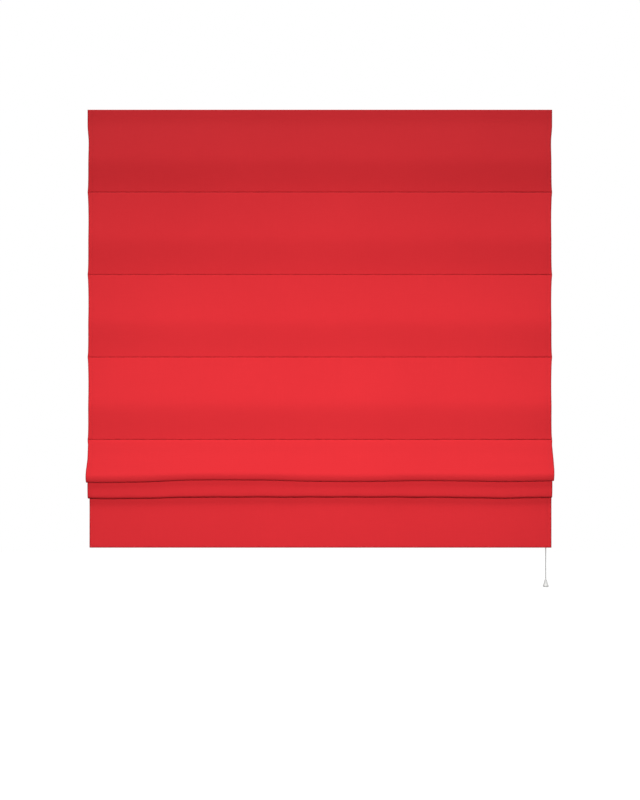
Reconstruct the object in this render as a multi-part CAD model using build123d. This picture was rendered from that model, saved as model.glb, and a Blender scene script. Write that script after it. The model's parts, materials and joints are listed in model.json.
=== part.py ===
from build123d import *
import os

# Roman blind, drawn part of the way up. Millimetres, +Z up, +Y towards the wall, the room at -Y.
# The origin is on the wall plane, midway between the two wall screw holes of the centre bracket.

# Cloth: flat panels between stitched rods, and two panels that hang folded.
cloth_width = 1300.0
cloth_thick = 0.6
panel_drop = 231.0  # from one rod seam to the next
flat_panels = 4
rod_count = 6
stack_pitch = 36.0  # between two rods that are drawn together
bellies = (7.0, 7.6, 8.0, 8.5)  # how far each flat panel stands forward of its rods
crease_rise = 6.0  # a folded panel turns over this far above its rod's seam
crease_gap = 2.0
crease_radius = 0.9
fold_turn_ease = 0.1
upper_fold_depth = 117.0  # from the last flat panel's rod down to the fold
upper_fold_reach = 11.0
upper_fold_gap = 2.6
lower_fold_step = 45.0  # from the upper fold's bottom to the lower one's
lower_fold_reach = 3.6
lower_fold_gap = 2.4
bottom_setback = 3.0  # the bottom panel hangs a little nearer the wall
straight_below_rail = 5.0
belly_radius = 60.0
seam_radius = 10.0
upper_fold_upright = 32.0  # the upper fold stands fully forward this far above its bottom
upper_fold_radius = 40.0
upper_back_bend = (1.1, 39.5, 30.0)  # nearer the wall, above the fold, radius
lower_fold_full = 30.0  # below its crease
lower_fold_radius = 20.0
hang_start = 16.0  # below the last crease, where the bottom panel starts to hang free

# Bottom hem and the flat weight bar in it.
hem_height = 34.0
hem_gap = 5.6
hem_close = 8.0
hem_radius = 1.2
hem_close_radius = 3.0
bar_height = 20.0
bar_thick = 4.0
bar_inset = 5.0  # in from the cloth's edge
bar_edge = 1.0
bar_above_hem = 0.4

# Headrail: a channel of folded aluminium, open downwards.
rail_inset = 5.0  # in from the cloth's edge
rail_depth = 26.0
rail_height = 30.0
rail_wall = 1.2
rail_lip = 4.0
groove_height = 5.0
cap_thick = 2.5
plug_length = 8.0
plug_clearance = 0.2
tape_height = 20.0
tape_thick = 1.2
tape_top_below_rail = 7.0
tape_inset = 5.0

# Wall and ceiling brackets of bent spring steel.
bracket_width = 34.0
bracket_steel = 1.5
bracket_bend = 1.6
bracket_lip = 6.0
bracket_tab = 7.0
screw_radius = 2.2
screw_spacing = 20.0
bracket_inset = 100.0  # outer brackets, in from the cloth's edge
bracket_hook_gap = 0.1
bracket_hook_room = 0.4
seat_gap = 0.3
cloth_below_bracket_top = 0.3

# Rods, their pocket tapes, end caps and cord rings.
rod_radius = 2.0
rod_inset = 5.0  # in from the cloth's edge
pocket_room = 0.15
pocket_wall = 0.6
pocket_inset = 2.0
flange_drop = 6.0
rod_rise = 2.5  # rod centre above its seam
cap_room = 0.05
cap_wall = 0.5
cap_grip = 6.0
cap_proud = 1.2
cap_round = 0.8
ring_major = 5.0
ring_minor = 1.0
orb_radius = 5.0
orb_hole = 1.0
orb_drop = 4.0

# Cords, guide rollers and the cord lock.
lift_inset = 150.0  # outer lift cords, in from the cloth's edge
cord_lane = 2.5
lift_cord_radius = 0.7
pull_cord_radius = 1.2
roller_radius = 4.3
roller_half_width = 4.5
roller_cord_gap = 0.2
pin_radius = 1.25
running_gap = 0.1
pin_seat_gap = 0.05
cheek_gap = 0.5
cheek_thick = 2.0
cheek_top = 4.0
base_thick = 2.5
guide_ahead = 5.0
guide_behind = 14.0
mouth_half = 4.25
pull_from_end = 6.0  # pull cord in from the rail's end
lock_length = 28.0
lock_room = 1.2  # behind the cord lock, inside the rail
lane_shift_start = 105.0
lane_shift_end = 45.0
lane_shift_radius = 350.0
pinch_radius = 2.0
pinch_stub = 1.0
pinch_stub_short = 0.2
pinch_drop = 5.0
pinch_travel = 3.0
pinch_out_rise = (0.3, 0.954)  # direction of the pinch roller's slot, outwards and upwards

# Pull: the connector that joins the lift cords, the pull cord and its bell.
connector_radius = 6.0
connector_height = 22.0
connector_round = 1.8
connector_below_rail = 640.0
bell_radius = 7.5
bell_neck = 3.2
bell_height = 20.5
bell_rim = 3.0
bell_flare = 0.335  # how far the middle of the flank stands out, from neck to rim
bell_room = 0.3
recess_radius = 4.6
recess_depth = 7.5
bell_below_hem = 112.0
knot_radius = 3.6
knot_flat = 2.6

# Places that follow from the sizes above.
rail_half = cloth_width / 2 - rail_inset
lift_spread = cloth_width / 2 - lift_inset
bracket_spread = cloth_width / 2 - bracket_inset
cap_bore = rod_radius + cap_room
cap_radius = cap_bore + cap_wall
pocket_bore = cap_radius + pocket_room
bell_bore = pull_cord_radius + bell_room
rail_top = rail_height / 2
rail_back = -(bracket_steel + seat_gap)
rail_front = rail_back - rail_depth
bracket_top = rail_top + seat_gap + bracket_steel
cloth_top = bracket_top - cloth_below_bracket_top
cloth_y = rail_front - 2 * tape_thick - cloth_thick / 2
cloth_back = cloth_y + cloth_thick / 2
seam_z = {k: cloth_top - k * panel_drop for k in range(1, flat_panels + 1)}
for k in range(flat_panels + 1, rod_count + 1):
    seam_z[k] = seam_z[k - 1] - stack_pitch
cloth_bottom = seam_z[rod_count] - panel_drop
pocket_radius = pocket_bore + pocket_wall
flange_y = cloth_back + seat_gap
rod_y = flange_y + pocket_radius
ring_y = rod_y + pocket_radius + seat_gap + ring_major + ring_minor
cord_turn = roller_radius + roller_cord_gap + lift_cord_radius
lips_z = -rail_top + rail_wall
pull_x = rail_half - pull_from_end
pull_y = rail_back - rail_wall - lock_room - roller_half_width - cheek_gap - cheek_thick
connector_z = -rail_top - connector_below_rail
bell_bottom = cloth_bottom - bell_below_hem
bell_top = bell_bottom + bell_height
knot_seat = bell_bottom + recess_depth - seat_gap
pinch_slope = (pinch_out_rise[0] ** 2 + pinch_out_rise[1] ** 2) ** 0.5
pinch_way = (pinch_out_rise[0] / pinch_slope, pinch_out_rise[1] / pinch_slope)
sides = {"left": -1, "centre": 0, "right": 1}

os.makedirs("parts", exist_ok=True)


def save(name, shape):
    export_step(shape, f"parts/{name}.step")


def block(x, y, z):
    """A box from three (low, high) pairs."""
    size = [b - a for a, b in (x, y, z)]
    middle = [(a + b) / 2 for a, b in (x, y, z)]
    return Pos(*middle) * Box(*size)


def along_x(section, start, end):
    """A (y, z) section extruded from x = start to x = end."""
    return extrude(Plane.YZ.offset(start) * section, amount=end - start)


def crosswise(radius, x, y, z):
    """A cylinder along Y from y[0] to y[1]."""
    middle = Pos(x, (y[0] + y[1]) / 2, z) * Rot(90, 0, 0)
    return middle * Cylinder(radius, y[1] - y[0])


def upright(radius, x, y, z):
    """A cylinder along Z from z[0] to z[1]."""
    return Pos(x, y, (z[0] + z[1]) / 2) * Cylinder(radius, z[1] - z[0])


# Headrail, its end cap and the hook and loop tapes that hold the cloth.
def rail_outline():
    step = rail_front + bracket_steel + bracket_hook_room
    corners = [
        (rail_back, -rail_top),
        (rail_back, rail_top),
        (step, rail_top),
        (step, rail_top - groove_height),
        (rail_front, rail_top - groove_height),
        (rail_front, -rail_top),
    ]
    return make_face(Polyline(*corners, close=True))


def rail_hollow():
    return offset(rail_outline(), amount=-rail_wall, kind=Kind.INTERSECTION)


def make_headrail():
    mouth_depth = rail_depth - 2 * (rail_wall + rail_lip)
    middle = (rail_back + rail_front) / 2
    mouth = Pos(middle, -rail_top) * Rectangle(mouth_depth, 3 * rail_wall)
    save("headrail", along_x(rail_outline() - rail_hollow() - mouth, -rail_half, rail_half))


def make_end_cap():
    plate = along_x(rail_outline(), -rail_half - cap_thick, -rail_half)
    plug = offset(rail_hollow(), amount=-plug_clearance, kind=Kind.INTERSECTION)
    save("end_cap_left", plate + along_x(plug, -rail_half, -rail_half + plug_length))


def make_tapes():
    top = rail_top - tape_top_below_rail
    width = (-rail_half + tape_inset, rail_half - tape_inset)
    for name, face in (("hook_tape", rail_front), ("loop_tape", rail_front - tape_thick)):
        save(name, block(width, (face - tape_thick, face), (top - tape_height, top)))


# Brackets: one bent strip that hooks over the rail's front groove and under its back edge.
def make_bracket(name, x):
    half = bracket_steel / 2
    lip_y = rail_front + bracket_hook_gap + half
    top_z = bracket_top - half
    strip = FilletPolyline(
        (lip_y, bracket_top - bracket_lip),
        (lip_y, top_z),
        (-half, top_z),
        (-half, -top_z),
        (-bracket_tab, -top_z),
        radius=bracket_bend,
    )
    section = trace(strip, line_width=bracket_steel)
    shape = along_x(section, x - bracket_width / 2, x + bracket_width / 2)
    for side in (-1, 1):
        hole_x = x + side * screw_spacing / 2
        shape -= crosswise(screw_radius, hole_x, (-2 * bracket_steel, bracket_steel), 0)
        shape -= upright(screw_radius, hole_x, rail_back - rail_depth / 2, (rail_top, bracket_top + 1))
    save(name, shape)


# Cord guides and the cord lock share one form: a base on the rail's lips with two cheeks.
def cradle(x, mouth_x, y):
    inner = roller_half_width + cheek_gap
    floor = (lips_z, lips_z + base_thick)
    rail_inside = (rail_front + rail_wall + plug_clearance, rail_back - rail_wall - plug_clearance)
    shape = block(x, rail_inside, floor)
    for side in (-1, 1):
        cheek = sorted((y + side * inner, y + side * (inner + cheek_thick)))
        shape += block(x, cheek, (lips_z, cheek_top))
    mouth = block(
        (mouth_x - mouth_half, mouth_x + mouth_half),
        (y - mouth_half, y + mouth_half),
        (floor[0] - 1, floor[1] + 1),
    )
    return shape - mouth


def make_roller(roller_name, pin_name, x, y):
    """A roller on its own pin, which the two cheeks hold."""
    half = roller_half_width
    outer = half + cheek_gap + cheek_thick
    roller = crosswise(roller_radius, x, (y - half, y + half), 0)
    roller -= crosswise(pin_radius + running_gap, x, (y - half - 1, y + half + 1), 0)
    save(roller_name, roller)
    save(pin_name, crosswise(pin_radius, x, (y - outer, y + outer), 0))


def make_cord_guides():
    for side, sign in sides.items():
        cord_x = sign * lift_spread
        roller_x = cord_x + cord_turn
        shape = cradle((cord_x - guide_ahead, cord_x + guide_behind), cord_x, ring_y)
        reach = (ring_y - rail_depth, ring_y + rail_depth)
        shape -= crosswise(pin_radius + pin_seat_gap, roller_x, reach, 0)
        save(f"cord_guide_{side}", shape)
        make_roller(f"guide_roller_{side}", f"guide_pin_{side}", roller_x, ring_y)


def pinch_place():
    x = pull_x + lift_cord_radius + running_gap + pinch_radius
    return x, -pinch_drop


def make_cord_lock():
    """The lock body closes the rail's right end; its pinch roller runs in two slanted slots."""
    roller_x = pull_x - cord_turn
    reach = (pull_y - rail_depth, pull_y + rail_depth)
    shape = cradle((rail_half - lock_length, rail_half), pull_x, pull_y)
    shape += along_x(rail_outline(), rail_half, rail_half + cap_thick)
    shape -= crosswise(pin_radius + pin_seat_gap, roller_x, reach, 0)
    x, z = pinch_place()
    wide = pinch_stub + running_gap
    ends = [
        crosswise(wide, x + pinch_way[0] * t, reach, z + pinch_way[1] * t) for t in (0, pinch_travel)
    ]
    turned = Rot(0, -Vector(*pinch_way).get_angle(Vector(1, 0)), 0)
    middle = Pos(x + pinch_way[0] * pinch_travel / 2, pull_y, z + pinch_way[1] * pinch_travel / 2)
    between = middle * turned * Box(pinch_travel, 2 * rail_depth, 2 * wide)
    save("cord_lock_body", shape - ends[0] - ends[1] - between)
    make_roller("lock_guide_roller", "lock_guide_pin", roller_x, pull_y)
    half = roller_half_width
    stub = half + cheek_gap + cheek_thick - pinch_stub_short
    pinch = crosswise(pinch_radius, x, (pull_y - half, pull_y + half), z)
    pinch += crosswise(pinch_stub, x, (pull_y - stub, pull_y + stub), z)
    save("lock_pinch_roller", pinch)


# Cloth: one strip that runs down the rods, through both folds and round the bottom hem.
def cloth_route():
    """Corners of the cloth's middle line as (y, z, radius), from the top edge to the hem's end."""
    route = [(cloth_y, cloth_top, 0), (cloth_y, -rail_top - straight_below_rail, belly_radius)]
    back_part = (panel_drop - stack_pitch) / 2
    for k in range(1, flat_panels + 1):
        route.append((cloth_y - bellies[k - 1], seam_z[k] + back_part, belly_radius))
        route.append((cloth_y, seam_z[k], seam_radius))
    upper = seam_z[flat_panels]
    fold_front = cloth_y - upper_fold_reach
    fold_back = fold_front + upper_fold_gap
    fold_z = upper - upper_fold_depth
    turn = upper_fold_gap / 2 - fold_turn_ease
    bend_back, bend_up, bend_radius = upper_back_bend
    crease = seam_z[flat_panels + 1] + crease_rise
    route += [
        (fold_front, fold_z + upper_fold_upright, upper_fold_radius),
        (fold_front, fold_z, turn),
        (fold_back, fold_z, turn),
        (fold_back + bend_back, fold_z + bend_up, bend_radius),
        (cloth_y - crease_gap, crease, crease_radius),
        (cloth_y, crease, crease_radius),
        (cloth_y, crease - crease_rise, lower_fold_radius),
    ]
    fold_front = cloth_y - lower_fold_reach
    fold_back = fold_front + lower_fold_gap
    fold_z -= lower_fold_step
    turn = lower_fold_gap / 2 - fold_turn_ease
    route += [
        (fold_front, crease - lower_fold_full, lower_fold_radius),
        (fold_front, fold_z, turn),
        (fold_back, fold_z, turn),
    ]
    crease = seam_z[rod_count] + crease_rise
    hang = cloth_y + bottom_setback
    hem_y = hang + hem_gap
    hem_z = cloth_bottom + cloth_thick / 2
    route += [
        (cloth_y - crease_gap, crease, crease_radius),
        (cloth_y, crease, crease_radius),
        (cloth_y, crease - hang_start, belly_radius),
        (hang, cloth_bottom + 2 * hem_height, belly_radius),
        (hang, hem_z, hem_radius),
        (hem_y, hem_z, hem_radius),
        (hem_y, cloth_bottom + hem_height - hem_close, hem_close_radius),
        (hang + 1.5 * cloth_thick, cloth_bottom + hem_height, 0),
    ]
    return route


def make_fabric():
    route = cloth_route()
    points = [(0, y, z) for y, z, _ in route]
    middle = FilletPolyline(*points, radius=[r for _, _, r in route[1:-1]])
    start = Plane(middle @ 0, x_dir=(1, 0, 0), z_dir=middle % 0)
    cloth = sweep(start * Rectangle(cloth_width, cloth_thick), path=middle)
    save("fabric", cloth)
    print("cloth length", round(middle.length))


def make_bottom_bar():
    y = cloth_y + bottom_setback + hem_gap / 2
    low = cloth_bottom + cloth_thick + bar_above_hem
    half = cloth_width / 2 - bar_inset
    bar = block((-half, half), (y - bar_thick / 2, y + bar_thick / 2), (low, low + bar_height))
    save("bottom_bar", fillet(bar.edges().filter_by(Axis.X), bar_edge))


# Rods: each one lies in a pocket tape behind its seam, capped at both ends, with three cord rings.
def make_rod_set(k):
    z = seam_z[k] + rod_rise
    pocket_half = cloth_width / 2 - pocket_inset
    section = Pos(rod_y, z) * Circle(pocket_radius)
    flange_low = seam_z[k] - flange_drop
    flange = Pos(flange_y + pocket_wall / 2, (flange_low + z) / 2)
    section += flange * Rectangle(pocket_wall, z - flange_low)
    section -= Pos(rod_y, z) * Circle(pocket_bore)
    save(f"rod_pocket_{k}", along_x(section, -pocket_half, pocket_half))
    outer = cloth_width / 2 + cap_proud
    rod_half = cloth_width / 2 - rod_inset
    save(f"rod_{k}", Pos(0, rod_y, z) * Rot(0, 90, 0) * Cylinder(rod_radius, 2 * rod_half))
    caps = []
    for side in (-1, 1):
        length = outer - rod_half + cap_grip
        middle = Pos(side * (outer - length / 2), rod_y, z) * Rot(0, 90, 0)
        cap = middle * Cylinder(cap_radius, length)
        tip = cap.edges().sort_by(Axis.X)[-1 if side > 0 else 0]
        cap = fillet(tip, cap_round)
        hole = Pos(side * (rod_half - cap_grip / 2), rod_y, z) * Rot(0, 90, 0)
        caps.append(cap - hole * Cylinder(cap_bore, cap_grip + 2 * pin_seat_gap))
    save(f"rod_caps_{k}", Compound(children=caps))
    rings = [Pos(s * lift_spread, ring_y, z) * Torus(ring_major, ring_minor) for s in sides.values()]
    save(f"cord_rings_{k}", Compound(children=rings))


def lane_y(sign):
    """Each lift cord keeps its own lane, side by side on the rollers."""
    return ring_y + sign * cord_lane


def make_cord_orbs():
    z = seam_z[rod_count] + rod_rise - orb_drop
    orbs = []
    for sign in sides.values():
        x = sign * lift_spread
        hole = upright(orb_hole, x, lane_y(sign), (z - orb_radius - 1, z + orb_radius + 1))
        orbs.append(Pos(x, ring_y, z) * Sphere(orb_radius) - hole)
    save("cord_orbs", Compound(children=orbs))


# Cords.
def make_lift_cord(side, sign):
    x, y = sign * lift_spread, lane_y(sign)
    low = seam_z[rod_count] + rod_rise - orb_drop - orb_radius
    out_y = pull_y + sign * cord_lane
    points = [
        (x, y, low),
        (x, y, cord_turn),
        (rail_half - lane_shift_start, y, cord_turn),
        (rail_half - lane_shift_end, out_y, cord_turn),
        (pull_x, out_y, cord_turn),
        (pull_x, out_y, connector_z + seat_gap),
    ]
    radii = [cord_turn, lane_shift_radius, lane_shift_radius, cord_turn]
    route = FilletPolyline(*points, radius=radii)
    start = Plane(route @ 0, z_dir=route % 0)
    cord = sweep(start * Circle(lift_cord_radius), path=route)
    save(f"lift_cord_{side}", cord)
    print("lift cord", side, "length", round(route.length))


def make_pull():
    low = connector_z - connector_height
    body = upright(connector_radius, pull_x, pull_y, (low, connector_z))
    body = fillet(body.edges().filter_by(GeomType.CIRCLE), connector_round)
    save("cord_connector", body)
    save("pull_cord", upright(pull_cord_radius, pull_x, pull_y, (knot_seat, low)))
    knot = Pos(pull_x, pull_y, knot_seat - knot_flat) * Sphere(knot_radius)
    above = upright(2 * knot_radius, pull_x, pull_y, (knot_seat, knot_seat + knot_radius))
    save("cord_knot", knot - above)


def make_bell():
    flank = ThreePointArc(
        (bell_neck, bell_top),
        (bell_neck + bell_flare * (bell_radius - bell_neck), bell_top - (bell_height - bell_rim) / 2),
        (bell_radius, bell_bottom + bell_rim),
    )
    corners = Polyline(
        (bell_radius, bell_bottom + bell_rim),
        (bell_radius, bell_bottom),
        (recess_radius, bell_bottom),
        (recess_radius, bell_bottom + recess_depth),
        (bell_bore, bell_bottom + recess_depth),
        (bell_bore, bell_top),
        (bell_neck, bell_top),
    )
    profile = Plane.XZ * make_face(Wire([*flank.edges(), *corners.edges()]))
    save("cord_bell", Pos(pull_x, pull_y, 0) * revolve(profile, Axis.Z))


make_headrail()
make_end_cap()
make_tapes()
for side, sign in sides.items():
    make_bracket(f"bracket_{side}", sign * bracket_spread)
make_cord_guides()
make_cord_lock()
make_fabric()
make_bottom_bar()
for k in range(1, rod_count + 1):
    make_rod_set(k)
make_cord_orbs()
for side, sign in sides.items():
    make_lift_cord(side, sign)
make_pull()
make_bell()
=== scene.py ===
import json
import math

import bmesh
import bpy
import numpy as np
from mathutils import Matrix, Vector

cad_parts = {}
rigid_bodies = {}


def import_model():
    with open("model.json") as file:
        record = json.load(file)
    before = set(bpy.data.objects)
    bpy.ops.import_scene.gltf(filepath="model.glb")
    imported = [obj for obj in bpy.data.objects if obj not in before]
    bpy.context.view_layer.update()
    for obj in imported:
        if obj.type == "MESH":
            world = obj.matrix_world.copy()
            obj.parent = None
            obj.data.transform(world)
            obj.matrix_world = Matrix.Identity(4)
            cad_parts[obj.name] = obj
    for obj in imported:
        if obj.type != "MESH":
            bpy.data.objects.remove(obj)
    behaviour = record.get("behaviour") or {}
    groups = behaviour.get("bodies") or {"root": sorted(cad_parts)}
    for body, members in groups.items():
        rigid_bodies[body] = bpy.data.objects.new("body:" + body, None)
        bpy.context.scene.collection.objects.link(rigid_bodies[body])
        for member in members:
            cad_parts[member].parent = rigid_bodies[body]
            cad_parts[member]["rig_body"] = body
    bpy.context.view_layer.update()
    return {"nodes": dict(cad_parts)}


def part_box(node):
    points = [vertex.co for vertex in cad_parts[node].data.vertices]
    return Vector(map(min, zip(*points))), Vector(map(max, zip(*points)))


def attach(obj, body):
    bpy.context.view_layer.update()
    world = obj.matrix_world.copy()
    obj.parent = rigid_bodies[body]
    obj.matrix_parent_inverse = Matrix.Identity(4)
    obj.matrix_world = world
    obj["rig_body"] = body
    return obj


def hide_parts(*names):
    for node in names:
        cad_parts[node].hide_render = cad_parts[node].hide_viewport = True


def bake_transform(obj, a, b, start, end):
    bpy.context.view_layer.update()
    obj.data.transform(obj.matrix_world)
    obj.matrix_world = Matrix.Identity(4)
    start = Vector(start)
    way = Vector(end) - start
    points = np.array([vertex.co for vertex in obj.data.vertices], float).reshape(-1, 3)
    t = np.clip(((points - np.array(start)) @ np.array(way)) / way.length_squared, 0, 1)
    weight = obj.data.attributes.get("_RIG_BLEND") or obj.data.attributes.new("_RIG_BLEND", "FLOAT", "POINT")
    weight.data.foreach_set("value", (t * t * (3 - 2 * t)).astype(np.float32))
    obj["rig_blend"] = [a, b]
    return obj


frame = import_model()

mm = 0.001

# Camera: level, at the height of the upper fold, straight in front of the blind. The lens is
# raised a little, so that the head of the blind is in view with upright lines upright.
eye_level = -0.9944
eye_distance = 1.898  # from the front of the cloth
eye_aside = 0.0004
cloth_front = -0.031
eye = bpy.data.objects.new("eye", bpy.data.cameras.new("eye"))
bpy.context.scene.collection.objects.link(eye)
eye.location = (eye_aside, cloth_front - eye_distance, eye_level)
eye.rotation_euler = (math.radians(90), 0, 0)
eye.data.lens = 30.5
eye.data.sensor_width = 36
eye.data.shift_y = 0.0884
bpy.context.scene.camera = eye
bpy.context.scene.view_settings.view_transform = "Standard"


# Cloth: one length of matte red plain weave, side hems turned to the back and sewn, top edge turned
# over, stitched to six rod pockets. Four panels hang open; two hang folded, one behind the other.
cloth_thick = 0.5 * mm
tape_gap = 0.3 * mm  # from the loop tape's face to the middle of the cloth
cloth_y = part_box("loop_tape")[0].y - tape_gap
cloth_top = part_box("fabric")[1].z
half_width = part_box("fabric")[1].x
panel_drop = 0.231
seam_above_tape = 6 * mm  # from a pocket tape's lower edge
seam_z = [cloth_top] + [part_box(f"rod_pocket_{k}")[0].z + seam_above_tape for k in range(1, 7)]
side_hem = 12 * mm
hem_turn = 0.55 * mm  # radius of the turned edge, to the middle of the cloth
pucker_depth = 0.55 * mm
puff_depth = 0.9 * mm
held_flat = 14 * mm  # how far from a seam the cloth is still held by it
edge_curl = 0.7 * mm
curl_width = 5 * mm
stitch_inset = 1 * mm  # side hem's stitches, from its inner edge
side_lines = {}  # for each piece and side: the piece, its stitches' line and their outward way


def add(tree, kind, inputs=None, **settings):
    """Adds a shader node. Each input is a plain value or another node's output."""
    made = tree.nodes.new(kind)
    for name, value in settings.items():
        setattr(made, name, value)
    for name, value in (inputs or {}).items():
        if isinstance(value, bpy.types.NodeSocket):
            tree.links.new(value, made.inputs[name])
        else:
            made.inputs[name].default_value = value
    return made


def sums(tree, operation, *values):
    """One Math node over numbers or outputs."""
    return add(tree, "ShaderNodeMath", dict(enumerate(values)), operation=operation).outputs[0]


def effect(name, inputs, outputs):
    """A new shader node group with named float or vector inputs and float outputs."""
    tree = bpy.data.node_groups.new(name, "ShaderNodeTree")
    for label, value in inputs.items():
        kind = "NodeSocketVector" if value is None else "NodeSocketFloat"
        socket = tree.interface.new_socket(label, in_out="INPUT", socket_type=kind)
        if value is not None:
            socket.default_value = value
    for label in outputs:
        tree.interface.new_socket(label, in_out="OUTPUT", socket_type="NodeSocketFloat")
    return tree, tree.nodes.new("NodeGroupInput").outputs, tree.nodes.new("NodeGroupOutput").inputs


def streaks(tree, place, density, detail):
    """Noise drawn out along some axes: density is how many spots there are to a metre on each."""
    scaled = add(tree, "ShaderNodeVectorMath", {0: place, 1: density}, operation="MULTIPLY").outputs[0]
    return add(tree, "ShaderNodeTexNoise", {"Vector": scaled, "Scale": 1.0, "Detail": detail}).outputs[0]


def weave_effect():
    """Plain weave: warp and weft are rounded ridges, and which lies on top alternates like a
    chessboard. Slub is a slow change in how thick the threads are."""
    tree, given, put = effect("plain weave", {"Vector": None, "Pitch": 0.0006}, ("Height", "Slub"))
    part = add(tree, "ShaderNodeSeparateXYZ", {0: given["Vector"]}).outputs
    counts = [sums(tree, "DIVIDE", part[i], given["Pitch"]) for i in (0, 1)]
    wave = [sums(tree, "SINE", sums(tree, "MULTIPLY", count, math.pi)) for count in counts]
    ridge = [sums(tree, "ABSOLUTE", w) for w in wave]
    over = sums(tree, "GREATER_THAN", sums(tree, "MULTIPLY", *wave), 0.0)
    top = add(tree, "ShaderNodeMix", {0: over, 2: ridge[0], 3: ridge[1]}).outputs[0]
    long_way, short_way = 12.0, 700.0  # changes in thickness to a metre, along and across a thread
    weft = streaks(tree, given["Vector"], (long_way, short_way, 1.0), 3.0)
    warp = streaks(tree, given["Vector"], (short_way, long_way, 1.0), 3.0)
    slub = sums(tree, "MULTIPLY", sums(tree, "ADD", weft, warp), 0.5)
    tree.links.new(sums(tree, "MULTIPLY", top, sums(tree, "ADD", slub, 0.5)), put["Height"])
    tree.links.new(slub, put["Slub"])
    return tree


def mottle_effect():
    """Soft uneven patches: two octaves of noise of a given size, spread to the range 0 to 1."""
    tree, given, put = effect("soft mottle", {"Vector": None, "Size": 0.1}, ("Patch",))
    per_metre = sums(tree, "DIVIDE", 1.0, given["Size"])
    scaled = add(tree, "ShaderNodeVectorMath", {0: given["Vector"], "Scale": per_metre}, operation="SCALE")
    noise = add(tree, "ShaderNodeTexNoise", {"Vector": scaled.outputs[0], "Scale": 1.0, "Detail": 2.0})
    spread = add(tree, "ShaderNodeMapRange", {0: noise.outputs[0], 1: 0.3, 2: 0.7})
    tree.links.new(spread.outputs[0], put["Patch"])
    return tree


weave, mottle = weave_effect(), mottle_effect()


def use(tree, group, **inputs):
    """Places an effect in a material."""
    made = add(tree, "ShaderNodeGroup", node_tree=group)
    for name, value in inputs.items():
        if isinstance(value, bpy.types.NodeSocket):
            tree.links.new(value, made.inputs[name])
        else:
            made.inputs[name].default_value = value
    return made.outputs


def new_finish(name, colour, roughness, **sockets):
    """A material with a Principled shader; returns it with its tree and its shader."""
    made = bpy.data.materials.new(name)
    made.use_nodes = True
    shader = made.node_tree.nodes["Principled BSDF"]
    shader.inputs["Base Color"].default_value = (*colour, 1)
    shader.inputs["Roughness"].default_value = roughness
    for label, value in sockets.items():
        shader.inputs[label.replace("_", " ")].default_value = value
    return made, made.node_tree, shader


def tint(tree, shader, factor, first, second):
    """Base colour between two colours by a mask."""
    mixed = add(tree, "ShaderNodeMix", {0: factor, 6: (*first, 1), 7: (*second, 1)}, data_type="RGBA")
    tree.links.new(mixed.outputs[2], shader.inputs["Base Color"])
    return mixed


def relief(tree, shader, height, depth):
    """A bump of the given depth in metres, fed to the shader's normal."""
    bump = add(tree, "ShaderNodeBump", {"Height": height, "Distance": depth, "Strength": 1.0})
    tree.links.new(bump.outputs[0], shader.inputs["Normal"])


def seven_to_three(tree, fine, broad):
    """A tone that is seven parts of a fine pattern and three parts of broad patches."""
    return sums(tree, "ADD", sums(tree, "MULTIPLY", fine, 0.7), sums(tree, "MULTIPLY", broad, 0.3))


def red_cloth(name, deep, full, painted_shade_colour):
    """Woven cloth: weave relief and thread tone on the piece's own lengths, soft patches, and painted
    shade: a deeper tone along the seams, along the side edges and under the folds' lower edges."""
    made, tree, shader = new_finish(name, full, 0.9, Sheen_Weight=0.05, Sheen_Roughness=0.5)
    shader.inputs["Specular IOR Level"].default_value = 0.15
    lengths = add(tree, "ShaderNodeUVMap", uv_map="lengths").outputs[0]
    threads = use(tree, weave, Vector=lengths, Pitch=0.0005)
    patch = use(tree, mottle, Vector=lengths, Size=0.35)["Patch"]
    base = tint(tree, shader, seven_to_three(tree, threads["Slub"], patch), deep, full)
    # Painted shade: a point attribute mixes the base colour towards the dark shade colour.
    painted_shade = add(tree, "ShaderNodeAttribute", attribute_name="painted_shade").outputs["Fac"]
    colours = {0: painted_shade, 6: base.outputs[2], 7: (*painted_shade_colour, 1)}
    final = add(tree, "ShaderNodeMix", colours, data_type="RGBA")
    tree.links.new(final.outputs[2], shader.inputs["Base Color"])
    relief(tree, shader, threads["Height"], 0.00008)
    return made


# The last colour is the painted shade at the seams, the side edges and the folds' lower edges.
cloth_red = red_cloth("cloth red", (0.70, 0.022, 0.030), (0.80, 0.028, 0.037), (0.34, 0.004, 0.007))


def surface(name, x, y, z, finish, lengths=None, wrap=False, caps=False):
    """A mesh from three arrays of rows by columns: point (i, j) is joined to its neighbours in both
    directions. wrap joins the last column to the first, caps close the first and last rows."""
    rows, columns = x.shape
    index = np.arange(rows * columns).reshape(rows, columns)
    if wrap:
        index = np.concatenate([index, index[:, :1]], axis=1)
    corners = [index[:-1, :-1], index[1:, :-1], index[1:, 1:], index[:-1, 1:]]
    mesh = bpy.data.meshes.new(name)
    faces = np.stack(corners, axis=-1).reshape(-1, 4).tolist()
    if caps:
        faces += [list(range(columns)), list(range((rows - 1) * columns, rows * columns))[::-1]]
    mesh.from_pydata(np.stack([x, y, z], axis=-1).reshape(-1, 3), [], faces)
    mesh.polygons.foreach_set("use_smooth", np.ones(len(faces), bool))
    if lengths is not None:
        corner = np.zeros(len(mesh.loops), np.int32)
        mesh.loops.foreach_get("vertex_index", corner)
        layer = mesh.uv_layers.new(name="lengths")
        layer.data.foreach_set("uv", np.stack(lengths, axis=-1).reshape(-1, 2)[corner].ravel())
    mesh.materials.append(finish)
    made = bpy.data.objects.new(name, mesh)
    bpy.context.scene.collection.objects.link(made)
    return made


def length_along(line):
    """Distance along a line of points, from its first point to each."""
    return np.concatenate([[0], np.cumsum(np.linalg.norm(np.diff(line, axis=0), axis=1))])


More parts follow.
